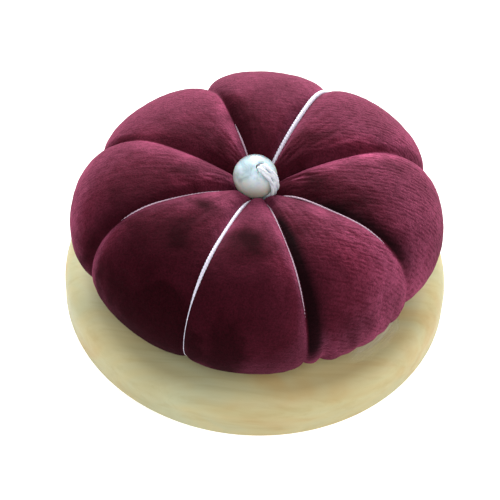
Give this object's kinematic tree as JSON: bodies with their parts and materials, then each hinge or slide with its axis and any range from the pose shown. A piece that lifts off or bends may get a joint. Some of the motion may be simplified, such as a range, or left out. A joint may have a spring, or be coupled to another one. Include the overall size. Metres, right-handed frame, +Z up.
{
  "type": "pin cushion",
  "caption": "Round lobed velvet pin cushion on a wooden disc, pulled in by wrapped white thread, with a pearl bead in the dimple on top; holds sewing pins and needles.",
  "frame": {"origin": "middle of the wooden base's underside, on the table", "axes": "+Z up along the cushion's axis; the front, as seen in the picture, faces -Y, and +X is to the right"},
  "size_m": [0.09, 0.09, 0.043],
  "materials": {
    "wood": "satin, pale and fine-grained",
    "glue": "dried clear craft glue",
    "velvet": "deep burgundy pile with a pale sheen at grazing angles",
    "fibre": "matte fibre fill",
    "thread": "twisted white cotton",
    "pearl": "pearl lacquer"
  },
  "bodies": {
    "cushion": {"wooden_base": "wood", "glue_layer": "glue", "velvet_cover": "velvet", "fibre_stuffing": "fibre", "gathering_thread": "thread", "thread_knot": "thread", "bead_thread": "thread", "wrap_thread_1": "thread", "wrap_thread_2": "thread", "wrap_thread_3": "thread", "wrap_thread_4": "thread", "wrap_thread_5": "thread", "wrap_thread_6": "thread", "wrap_thread_7": "thread", "wrap_thread_8": "thread"},
    "bead": {"pearl_bead": "pearl"}
  },
  "joints": [
    {"name": "bead_spin", "type": "hinge", "parent": "cushion", "child": "bead", "pos_m": [-0.0011, -0.0004, 0.0376], "axis": [0.2714, -0.2811, 0.9205], "continuous": true}
  ]
}
